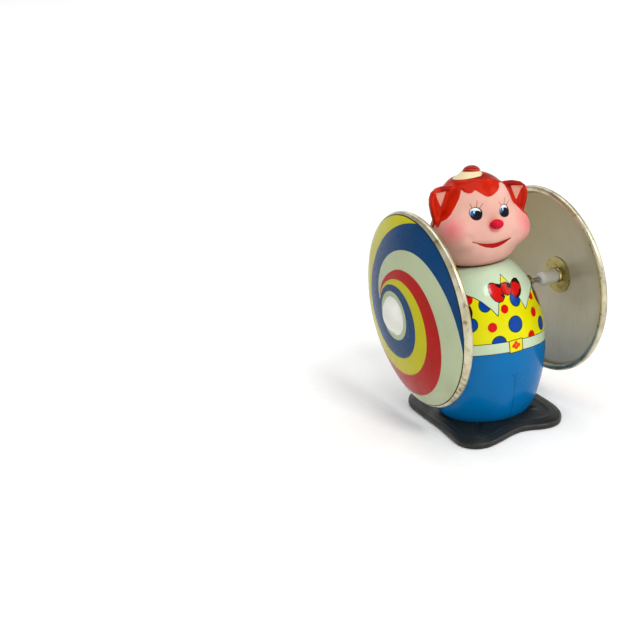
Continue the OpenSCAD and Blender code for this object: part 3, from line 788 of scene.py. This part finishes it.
# how far back the bare skin reaches: (height, y)
HAIR_BACK = [(58, 8), (68, 6), (73, 4), (78, 1), (82, -2.5), (84.2, -4), (87, -1.5), (110, -1.5)]
LASHES = [
    ((-7.2, 89.6), (-7.7, 91.2)), ((-5.7, 90.0), (-5.2, 92.3)), ((-4.6, 89.6), (-3.3, 91.3)),
    ((4.7, 89.7), (3.7, 91.2)), ((6.3, 90.2), (7.0, 92.4)), ((7.4, 89.6), (9.3, 91.0)),
]
EYES = [(-6.1, 87.6), (5.95, 87.75)]
SMILE_Z = 76.0  # height of the smile line in the middle
SMILE_RISE = 0.022  # its rise, as a share of the square of the distance aside
BLUSH = (15.4, -11.0, 82.0)
# the head's masses: middle and half sizes
SKULL = ((0, 0.9, 87.2), (14.9, 14.4, 15.0))
JAW = ((0, -0.9, 75.4), (16.4, 13.4, 11.6))
CHEEK_AT = (9.4, -3.4, 79.6)  # its half sizes, in head_distance, differ by side
MUZZLE = ((0, -9.2, 79.4), (6.0, 6.0, 4.6))
NOSE = ((0.9, -16.0, 83.5), (2.6, 2.2, 1.9))
NOSE_PAINT = (2.85, 2.7, 2.2)
HAT_DOME = ((-1.7, -0.6, 102.4), (3.4, 3.4, 2.3))
HAT_BAND_TOP = 102.6
CHIN_Z = 66.55  # the head is cut level just above the collar


def head_frame(points):
    """Row-frame points as the head sees them, before it leans and turns."""
    def swung(a, b, angle):
        c, s = math.cos(angle), math.sin(angle)
        return a * c - b * s, a * s + b * c

    x, y, z = np.moveaxis(points - HEAD_PIVOT, -1, 0)
    x, z = swung(x, z, HEAD_LEAN)
    x, y = swung(x, y, HEAD_TURN)
    return np.stack([x, y, z], -1) + HEAD_PIVOT


def ball(x, y, z, centre, semi):
    """Near its surface, the distance to an ellipsoid."""
    a, b, c = ((p - m) / r for p, m, r in zip((x, y, z), centre, semi))
    reach = np.sqrt(a * a + b * b + c * c)
    slope = np.sqrt((a / semi[0]) ** 2 + (b / semi[1]) ** 2 + (c / semi[2]) ** 2)
    return reach * (reach - 1) / np.maximum(slope, 1e-6)


def join(a, b, blend):
    """Smooth union of two distances."""
    h = np.clip(0.5 + 0.5 * (b - a) / blend, 0, 1)
    return b + (a - b) * h - blend * h * (1 - h)


def cut(a, b, blend):
    """Smooth overlap of two distances."""
    return -join(-a, -b, blend)


def ramp(value, low, high):
    """Eases from 0 at low to 1 at high."""
    t = np.clip((value - low) / (high - low), 0, 1)
    return t * t * (3 - 2 * t)


def skin_distance(x, y, z):
    """Distance to the hairline over the face, negative on bare skin."""
    return np.maximum(polygon_distance(x, z, FACE), y - smooth_through(HAIR_BACK, z))


def hat_distance(x, y, z):
    """Distance to the side of the small hat, which narrows and leans to the middle upwards."""
    lean = -2.9 + 0.35 * (z - 100)
    taper = np.minimum(6.6 - (z - 99.3) * 0.95, 6.8)
    return np.hypot(x - lean, y + 0.6) - taper


def ear_distance(wide, y, z):
    """Distance to an ear: a round-edged plate, hollow in front, that slants back outwards."""
    outline = polygon_distance(wide, z, EAR)
    middle = -2.8 - 0.10 * (wide - 15)
    hollow = ramp(-outline, 1.2, 2.4) * 0.8
    half, edge_round = 1.5, 0.9
    thick = np.maximum(middle - y - half + hollow, y - middle - half)
    a, b = outline + edge_round, thick + edge_round
    outside = np.hypot(np.maximum(a, 0), np.maximum(b, 0))
    return outside - edge_round + np.minimum(np.maximum(a, b), 0)


def head_distance(points):
    """Distance to the head's surface, negative inside."""
    x, y, z = np.moveaxis(head_frame(points), -1, 0)
    wide = np.abs(x)
    head = ball(x, y, z, *SKULL)
    cheek = (11.0 + 0.45 * np.tanh(x / 3), 11.2, 9.4)  # fuller on the left
    head = join(head, ball(np.abs(x - 0.4), y, z, CHEEK_AT, cheek), 4.0)
    head = join(head, ball(x, y, z, *JAW), 4.5)
    head = join(head, ball(x, y, z, *MUZZLE), 2.5)
    # soft folds beside the mouth and under the cheeks, and the shallow cut of the smile
    fold = np.hypot(wide - 9.4, z - 78.6)
    front = ramp(-y, 6, 10)
    head += 0.65 * np.exp(-((fold / 1.9) ** 2)) * front
    under_cheek = np.exp(-(((z - 73.0 + 0.15 * (wide - 12)) / 2.9) ** 2))
    head += under_cheek * ramp(wide, 6.5, 13) * ramp(-y, -5, 5)
    smile = SMILE_Z + SMILE_RISE * x * x
    head += 0.45 * np.exp(-(((z - smile) / 0.5) ** 2)) * ramp(-wide, -9.0, -7.0) * front
    # hair stands a little proud of the skin, the fringe more than the crown
    hair = ramp(skin_distance(x, y, z), -0.25, 0.45)
    over_crease = z - smooth_through(CREASE, x)
    crown = ramp(over_crease, -0.3, 0.3)
    brim = 0.32 * np.exp(-(((over_crease + 0.3) / 0.55) ** 2)) * ramp(-y, -1, 3)
    strands = 0.05 * np.sin(x * 1.3 + 0.5 * np.sin(z * 0.3)) * ramp(y, -4, 4)
    head -= hair * (0.42 - 0.3 * crown + strands * (1 - crown) + brim)
    # eye hollows
    for ex, ez in EYES:
        head += 0.25 * np.exp(-(np.hypot(x - ex, z - ez) / 3.2) ** 2) * front

    head = join(head, ear_distance(wide, y, z), 1.0)
    head = join(head, ball(x, y, z, *NOSE), 0.35)
    band = cut(hat_distance(x, y, z), z - HAT_BAND_TOP, 0.3) * 0.75
    head = join(head, np.maximum(band, 95 - z), 0.3)
    head = join(head, ball(x, y, z, *HAT_DOME), 0.25)

    # the level underside, and the plug that grips the body's neck from inside
    px, py, pz = np.moveaxis(points, -1, 0)
    head = cut(head, CHIN_Z - pz, 1.0)
    neck = np.hypot(px, (py - BODY_BACK) / BODY_OVAL) - NECK_R + TIN
    return np.minimum(head, np.maximum(neck, np.maximum(pz - 69, 63.0 - pz)))


def surface_net(distance, low, high, step):
    """A closed mesh of four-sided faces over the zero surface of a distance field.

    One point goes in each grid cell the surface crosses, and is then drawn onto it.
    """
    axes = [np.arange(a, b + step, step) for a, b in zip(low, high)]
    field = np.empty([len(a) for a in axes], np.float32)
    for i, x in enumerate(axes[0]):
        y, z = np.meshgrid(axes[1], axes[2], indexing="ij")
        field[i] = distance(np.stack([np.full_like(y, x), y, z], -1))
    solid = field < 0
    count = np.zeros([n - 1 for n in field.shape], int)
    for i, j, k in np.ndindex(2, 2, 2):
        count += solid[i:, j:, k:][:count.shape[0], :count.shape[1], :count.shape[2]]
    cells = np.argwhere((count > 0) & (count < 8))
    number = np.full(count.shape, -1)
    number[tuple(cells.T)] = np.arange(len(cells))
    points = np.array(low) + (cells + 0.5) * step

    # a face round each grid edge that crosses the surface
    faces = []
    for axis in range(3):
        u, v = (axis + 1) % 3, (axis + 2) % 3
        at = np.argwhere(np.diff(solid, axis=axis))
        leaving = solid[tuple(at.T)]
        ring = []
        for back in ((1, 1), (0, 1), (0, 0), (1, 0)):
            cell = at.copy()
            cell[:, [u, v]] -= back
            ring.append(number[tuple(cell.T)])
        quads = np.stack(ring, -1)
        quads[~leaving] = quads[~leaving][:, ::-1]
        faces.append(quads)
    faces = np.concatenate(faces)

    nudge = step * 0.25
    for _ in range(6):
        value = distance(points)
        slope = np.stack([
            distance(points + nudge * way) - distance(points - nudge * way) for way in np.eye(3)
        ], -1) / (2 * nudge)
        length = np.maximum((slope**2).sum(-1, keepdims=True), 0.05)
        points = points - np.clip(value[:, None] * slope / length, -step, step) * 0.8
        total = np.zeros_like(points)
        share = np.zeros(len(points))
        for i in range(4):
            np.add.at(total, faces[:, i], points[faces].mean(1))
            np.add.at(share, faces[:, i], 1)
        points = points + 0.25 * (total / share[:, None] - points)
    value = distance(points)
    return points - np.clip(value[:, None] * slope / length, -step, step), faces


def make_head(look):
    """The soft head, with distances to the edges of everything painted on it."""
    points, faces = surface_net(head_distance, (-25, -21, 62), (25, 19, 107), 0.45)
    x, y, z = np.moveaxis(head_frame(points), -1, 0)
    wide = np.abs(x)
    ear = np.maximum(polygon_distance(wide, z, EAR), 13.2 - wide)
    on_ear = np.maximum(ear, np.abs(y + 3) - 3.2)
    hat = hat_distance(x, y, z) - 0.25
    painted = {
        "face_x": x,
        "face_y": y,
        "face_z": z,
        "skin": np.maximum(skin_distance(x, y, z), -on_ear),
        "crown": smooth_through(CREASE, x) - z,
        "ear_pink": np.maximum(polygon_distance(wide, z, EAR_PINK), y + 2.6),
        "mouth": np.maximum(polygon_distance(x, z, MOUTH), y + 8),
        "nose": ball(x, y, z, NOSE[0], NOSE_PAINT),
        "blush": np.sqrt((wide - BLUSH[0]) ** 2 + (y - BLUSH[1]) ** 2 + (z - BLUSH[2]) ** 2),
        "hat": np.maximum(hat, 100.5 + 0.12 * (x + 3) - z),
    }
    return make_piece("bear_head", points, faces, "frame", [look], ["head"],
                      painted=painted)


def head_vinyl():
    """Vinyl skin, with hair, hat and face sprayed and painted over it."""
    look = Look("head_vinyl", (216, 168, 154), Subsurface_Weight=0.1, Subsurface_Scale=0.0015,
                Coat_Roughness=0.16, Specular_IOR_Level=0.07)
    x, y, z = (look.stored("face_" + a) for a in "xyz")
    front = look.inside(y, 1.0, -5.0)
    cloud = look.noise(9.0, detail=4.0)
    look.paint((200, 148, 132), look.levels(cloud, 0.4, 0.75, 0.0, 0.5))
    blush = look.levels(look.stored("blush"), 6.6, 1.0)
    look.paint((224, 84, 104), look.both(blush, 0.62))
    # painted shade: dark red under the chin, where the head meets the collar
    chin_shade = look.levels(look.place("z"), 69.5, 66.6)
    look.paint((140, 22, 16), look.both(look.math("POWER", chin_shade, 2.0), 0.9))

    # hair, crown and ears, sprayed over the skin
    hair = look.math("SUBTRACT", 1.0, look.inside(look.stored("skin"), 0.16))
    tone = look.levels(look.noise(5.0, stretch=(1.4, 1, 0.5), detail=4.0, shift=6.0), 0.35, 0.7)
    red = look.mix(tone, linear((194, 34, 2)), linear((168, 18, 2)))
    look.colour = look.mix(hair, look.colour, red)
    crown = look.stored("crown")
    look.paint((132, 12, 6), look.both(hair, look.inside(crown, 0.3), 0.8))
    # painted shade: a dark line along the crease between fringe and crown
    look.paint((96, 6, 4), look.both(look.edge(crown, 0.1, 0.4), hair, front))
    look.paint((208, 146, 126), look.inside(look.stored("ear_pink"), 0.2))

    # hat: cream band and dark red dome
    hat = look.inside(look.stored("hat"), 0.12)
    look.paint((216, 200, 156), hat)
    above_band = look.inside(look.math("SUBTRACT", HAT_BAND_TOP - 0.15, z), 0.15)
    look.paint((140, 16, 10), look.both(hat, above_band))

    # eyes: dark all over, a white crescent above, blue on one side with a pale glint
    for ex, ez in EYES:
        def eye(dx, dz, a, b, soft=0.14):
            oval = look.oval(x, z, (ex + dx, ez + dz), (a, b))
            return look.both(front, look.inside(oval, soft))

        look.paint((120, 56, 44), eye(0.05, 0.1, 2.45, 2.4, 0.4))
        look.paint((18, 14, 20), eye(0.2, -0.05, 2.25, 2.25))
        white = eye(-0.05, 0.35, 1.95, 1.8)
        look.paint((228, 236, 240), white)
        look.paint((14, 12, 20), eye(0.15, -0.85, 2.15, 1.6, 0.2))
        look.paint((22, 92, 156), look.both(white, eye(-0.8, 0.2, 1.15, 1.1, 0.3)))
        look.paint((12, 14, 26), eye(0.65, -0.45, 1.65, 1.6, 0.25))
        look.paint((190, 222, 238), eye(-0.5, 0.75, 0.27, 0.7, 0.2))
    for start, stop in LASHES:
        lash = look.inside(look.stroke(x, z, start, stop, 0.1), 0.16)
        look.paint((104, 40, 32), look.both(front, lash))

    nose = look.stored("nose")
    # painted shade: a pink halo round the nose, on the skin in front
    look.paint((230, 120, 112), look.both(front, look.levels(nose, 1.3, 0.2, 0.0, 0.6)))
    look.paint((196, 18, 46), look.inside(nose, 0.2))
    mouth = look.stored("mouth")
    look.paint((166, 10, 14), look.inside(mouth, 0.16))
    smile = look.math("MULTIPLY_ADD", look.math("MULTIPLY", x, x), SMILE_RISE, SMILE_Z - 0.25)
    smile = look.math("SUBTRACT", z, smile)
    near_mouth = look.inside(mouth, 0.2, 0.35)
    look.paint((130, 8, 16), look.both(look.edge(smile, 0.2, 0.2), near_mouth))

    fine = look.noise(0.5, shift=3.0)
    look.paint((90, 50, 40), look.levels(look.both(fine, cloud), 0.42, 0.5, 0.0, 0.3))
    look.bump(fine, 0.02, 0.4)
    look.feed(look.shader.inputs["Coat Weight"], look.math("MULTIPLY", hair, 0.06))
    matt = look.levels(cloud, 0.3, 0.7, 0.44, 0.54)
    return look.done(look.math("MULTIPLY_ADD", hair, -0.14, matt))


# ---------- build the visible pieces ----------

disc_looks = [disc_print(), inner_tin()]
make_disc(-1, "disc_left", disc_looks)
make_disc(1, "disc_right", disc_looks)
shell_looks = [body_print(), metal("shell_tin", (176, 172, 158), 0.35, (120, 104, 78), 0.6)]
make_body_half(-1, "body_front", shell_looks)
make_body_half(1, "body_back", shell_looks)
make_base(foot_plastic())
make_head(head_vinyl())

# ---------- finishes of the CAD nodes that stay ----------


def dress(look, *names):
    """Gives nodes their finish."""
    for name in names:
        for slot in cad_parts[name].material_slots:
            slot.material = look


dress(metal("plated_steel", (196, 196, 194), 0.24, (140, 134, 120), 0.5),
      "base_screws", "base_nuts", "axle_collars")
dress(metal("plate_steel", (178, 178, 174), 0.36, (118, 112, 98), 0.5, grain=(0.2, 1, 1)),
      "front_plate", "rear_plate", "pillars", "axle_brackets", "crown_bridge")
dress(metal("brass", (206, 194, 140), 0.24, (128, 112, 66), 0.6), "side_eyelets", "hub_eyelets")
dress(metal("washer_brass", (176, 162, 102), 0.36, (104, 92, 50), 0.8, patch=2.0), "hub_washers")
dress(metal("gear_brass", (206, 170, 84), 0.3, (120, 94, 44), 0.6, grain=(1, 1, 0.3), size=0.3),
      "great_wheel", "second_wheel", "crown_wheel", "axle_pinion", "ratchet_wheel")
dress(metal("spring_steel", (86, 92, 108), 0.3, (60, 52, 46), 0.6, grain=(1, 0.15, 1)),
      "mainspring", "click_spring")
dress(metal("arbor_steel", (170, 170, 172), 0.24, (120, 112, 100), 0.5, grain=(0.15, 1, 1)),
      "winding_arbor", "second_arbor", "crown_arbor", "cross_axle")
dress(metal("key_steel", (190, 190, 190), 0.3, (128, 112, 92), 0.7, patch=2.0),
      "key_boss", "key_wings")
dress(plastic("cap_white", (218, 218, 210), 0.3, (150, 146, 130)),
      "hub_cap_left", "hub_cap_right")
dress(plastic("bush_white", (234, 233, 222), 0.36, (120, 112, 96)),
      "hub_bush_left", "hub_bush_right")

# ---------- floor, light and camera ----------


def make_floor():
    """A pale paper floor, level under the toy and rising softly all round, far away."""
    bend = np.radians(np.linspace(0, 80, 21))
    line = [(0.02, 0.0), (0.5, 0.0), (1.2, 0.0)]
    line += [(2.2 + 2.6 * math.sin(a), 2.6 - 2.6 * math.cos(a)) for a in bend]
    around = np.radians(np.arange(0, 360, 5))
    points = [(r * math.cos(a), r * math.sin(a), z) for r, z in line for a in around] + [(0, 0, 0)]
    faces = [list(f) for f in grid_faces(len(line), len(around), closed=True)[:, ::-1]]
    middle = len(points) - 1
    faces += [[middle, i, (i + 1) % len(around)] for i in range(len(around))]
    mesh = bpy.data.meshes.new("floor")
    mesh.from_pydata(points, [], faces)
    mesh.shade_smooth()
    floor = add_object("floor", mesh)
    look = Look("floor_paper", (250, 250, 249), Specular_IOR_Level=0.2)
    grain = look.noise(3.0)
    look.paint((245, 245, 243), look.levels(grain, 0.4, 0.7, 0.0, 0.5))
    # the far paper is lit on its own, up to where it leaves the picture
    away = look.oval(look.place("x"), look.place("y"), (0, 0), (1, 1))
    low = look.levels(look.place("z"), 1100.0, 500.0)
    far = look.both(look.levels(away, 500.0, 2200.0, 0.0, 0.42), low)
    look.shader.inputs["Emission Color"].default_value = (1, 1, 1, 1)
    look.feed(look.shader.inputs["Emission Strength"], far)
    mesh.materials.append(look.done(look.levels(grain, 0.3, 0.7, 0.7, 0.8)))


def make_light(name, place, size, power, colour=(1, 1, 1)):
    """A soft square light that faces the middle of the toy."""
    data = bpy.data.lights.new(name, "AREA")
    data.shape = "SQUARE"
    data.size = size
    data.energy = power
    data.color = colour
    light = add_object(name, data)
    light.location = place
    aim = Vector((0, 0, 0.05)) - Vector(place)
    light.rotation_euler = aim.to_track_quat("-Z", "Y").to_euler()


VIEW_YAW = -32.78  # the camera stands to the figure's right, and looks down a little
VIEW_PITCH = 16.72
VIEW_ROLL = -3.71
VIEW_DISTANCE = 326.15
VIEW_RIGHT = 11.506  # how far right of the view axis the axle's middle lies
VIEW_UP = 1.894  # and how far above it
VIEW_LENS = 44.01


def make_camera():
    """A camera aimed at the axle's middle, then swung so that the toy sits to one side."""
    angles = zip((VIEW_YAW, 90 - VIEW_PITCH, VIEW_ROLL), "ZXZ")
    yaw, tilt, roll = (Matrix.Rotation(math.radians(angle), 3, axis) for angle, axis in angles)
    aimed = yaw @ tilt @ roll
    place = Vector((0, 0, AXLE_Z + 0.03)) + aimed.col[2] * VIEW_DISTANCE
    aside, above = (math.tan(math.radians(a)) for a in (VIEW_RIGHT, VIEW_UP))
    swing = Vector((aside, above, -1)).rotation_difference(Vector((0, 0, -1))).to_matrix()
    data = bpy.data.cameras.new("camera")
    data.lens = VIEW_LENS
    data.sensor_width = 36
    data.clip_start = 0.01
    camera = add_object("camera", data)
    camera.matrix_world = Matrix.Translation(place * MM) @ (aimed @ swing).to_4x4()
    scene.camera = camera


make_floor()
make_light("key", (0.1, -2.3, 2.1), 0.7, 46.0)
make_light("fill", (2.2, -1.5, 1.5), 1.4, 22.0)
make_light("side", (-2.4, -0.8, 1.8), 1.4, 5.0)
make_light("back", (0.3, 2.2, 2.2), 1.8, 14.0)
make_light("top", (0.0, 0.0, 3.4), 2.6, 46.0)
make_camera()

world = bpy.data.worlds.new("studio")
scene.world = world
world.use_nodes = True
sky = world.node_tree.nodes["Background"].inputs
sky["Color"].default_value = (1.0, 1.0, 1.0, 1)
sky["Strength"].default_value = 0.26
scene.view_settings.view_transform = "Standard"
